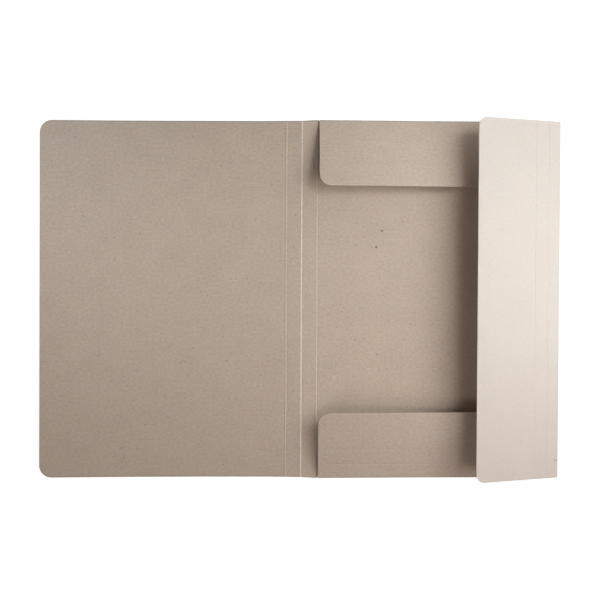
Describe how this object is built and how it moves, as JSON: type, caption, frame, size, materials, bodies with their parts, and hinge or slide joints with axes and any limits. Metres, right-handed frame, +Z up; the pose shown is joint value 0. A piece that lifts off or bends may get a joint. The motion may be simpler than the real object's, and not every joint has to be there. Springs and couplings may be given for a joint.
{
  "type": "document folder",
  "caption": "Open card document folder folded from one creased sheet, with a cover, a scored spine, a back panel, end flaps and a raised side flap.",
  "frame": {"origin": "middle of the open folder's outline, on the table", "axes": "+X from the cover to the side flap, +Y from the lower end flap to the upper one, +Z up from the table"},
  "size_m": [0.4672, 0.3214, 0.0366],
  "materials": {
    "recycled_card": "uncoated grey-brown recycled card, matte, with fine fibres and specks"
  },
  "bodies": {
    "root": {"folder_sheet": "recycled_card"}
  },
  "joints": []
}
